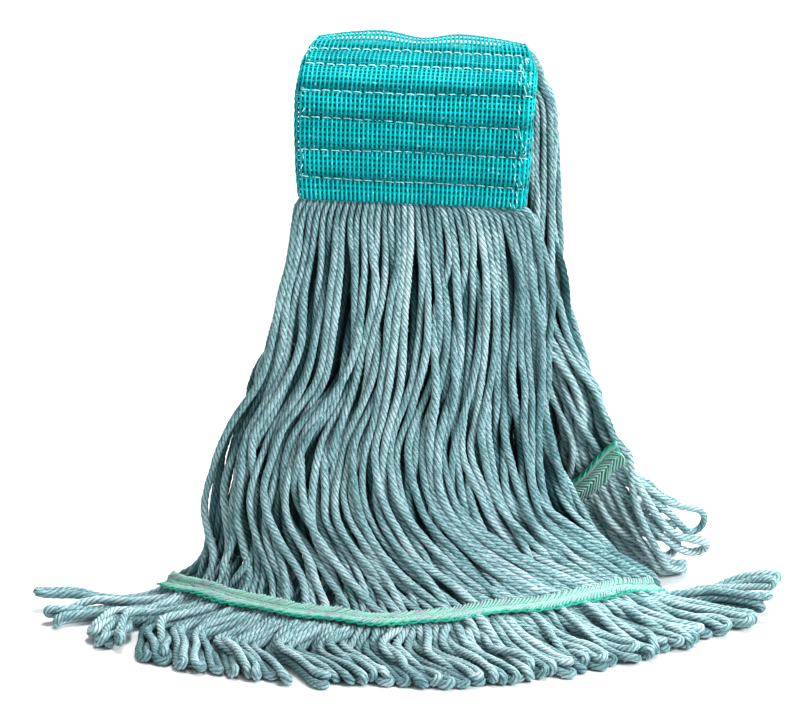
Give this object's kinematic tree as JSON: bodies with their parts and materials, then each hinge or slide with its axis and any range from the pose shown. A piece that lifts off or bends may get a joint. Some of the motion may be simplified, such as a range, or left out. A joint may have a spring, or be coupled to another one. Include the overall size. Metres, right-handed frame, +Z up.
{
  "type": "looped-end wet mop head",
  "caption": "Wet mop head standing on its yarn: a stitched mesh headband with a skirt of looped yarn hanging in front and another behind, each held by a knitted tailband.",
  "frame": {"origin": "on the floor, under the middle of the whole head's box", "axes": "+X to the head's right seen from the front, -Y to the front, +Z up"},
  "size_m": [0.4788, 0.296, 0.3788],
  "materials": {
    "coated_mesh": "open woven mesh of plastic-coated yarn, glossy",
    "seam_thread": "twisted polyester sewing thread",
    "mop_yarn": "four-ply twisted cotton and synthetic mop yarn, mottled, slightly fuzzy",
    "tailband_tape": "knitted polyester tape, loops in a herringbone",
    "edge_thread": "twisted polyester cord"
  },
  "bodies": {
    "headband": {"headband_mesh": "coated_mesh", "headband_needle_thread": "seam_thread", "headband_bobbin_thread": "seam_thread", "yarn_core": "mop_yarn"},
    "front_skirt": {"front_yarns_1": "mop_yarn", "front_yarns_2": "mop_yarn", "front_yarns_3": "mop_yarn", "front_yarns_4": "mop_yarn", "front_yarns_5": "mop_yarn", "front_yarns_6": "mop_yarn", "front_yarns_7": "mop_yarn", "front_yarns_8": "mop_yarn", "front_tailband_outer": "tailband_tape", "front_tailband_inner": "tailband_tape", "front_tailband_edge_thread": "edge_thread"},
    "back_skirt": {"back_yarns_1": "mop_yarn", "back_yarns_2": "mop_yarn", "back_yarns_3": "mop_yarn", "back_yarns_4": "mop_yarn", "back_yarns_5": "mop_yarn", "back_yarns_6": "mop_yarn", "back_yarns_7": "mop_yarn", "back_yarns_8": "mop_yarn", "back_tailband_outer": "tailband_tape", "back_tailband_inner": "tailband_tape", "back_tailband_edge_thread": "edge_thread"}
  },
  "joints": [
    {"name": "front_skirt_swing", "type": "hinge", "parent": "headband", "child": "front_skirt", "pos_m": [0, 0.001, 0.2825], "axis": [-1, 0, 0], "range_deg": [0, 90]},
    {"name": "back_skirt_swing", "type": "hinge", "parent": "headband", "child": "back_skirt", "pos_m": [0, 0.08216, 0.34839], "axis": [1, 0, 0], "range_deg": [0, 90]}
  ]
}
